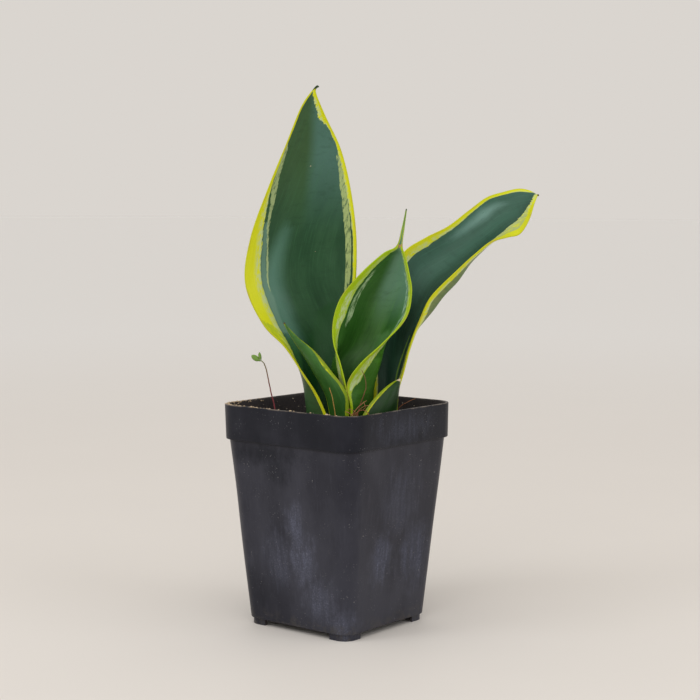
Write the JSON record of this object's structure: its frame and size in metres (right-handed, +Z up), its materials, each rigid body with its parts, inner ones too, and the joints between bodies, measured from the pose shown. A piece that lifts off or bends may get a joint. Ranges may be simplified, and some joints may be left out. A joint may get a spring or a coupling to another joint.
{
  "type": "potted snake plant",
  "caption": "Young snake plant with broad yellow-edged green leaves in a square black plastic nursery pot of soil.",
  "frame": {"origin": "bottom centre of the whole object's box, on the surface that the pot's feet rest on", "axes": "+Z up; X and Y along the pot's sides; the right-hand leaf leans towards +X and +Y"},
  "size_m": [0.1308, 0.1541, 0.3229],
  "materials": {
    "black_plastic": "moulded black plastic, lightly scuffed and dusty",
    "potting_soil": null,
    "crown_stem": "smooth pale stem base",
    "leaf_yellow_edged": null,
    "leaf_lime_edged": null,
    "seedling_stem": "thin brown-green stem",
    "seedling_leaf": "small soft green leaf",
    "pale_root": "dry golden-brown root",
    "brown_root": "dry brown root",
    "coir_fibre": "reddish coconut fibre",
    "bark": "rough bark flake"
  },
  "bodies": {
    "root": {"pot": "black_plastic", "soil": "potting_soil", "crown": "crown_stem", "leaf_tall": "leaf_yellow_edged", "leaf_small_left": "leaf_lime_edged", "leaf_centre": "leaf_lime_edged", "leaf_right": "leaf_yellow_edged", "leaf_small_right": "leaf_lime_edged", "seedling_stem": "seedling_stem", "seedling_leaf_left": "seedling_leaf", "seedling_leaf_right": "seedling_leaf", "root_pale": "pale_root", "root_brown": "brown_root", "root_red": "coir_fibre", "coir_long": "coir_fibre", "coir_looped": "coir_fibre", "coir_short": "coir_fibre", "bark_chip": "bark"}
  },
  "joints": []
}
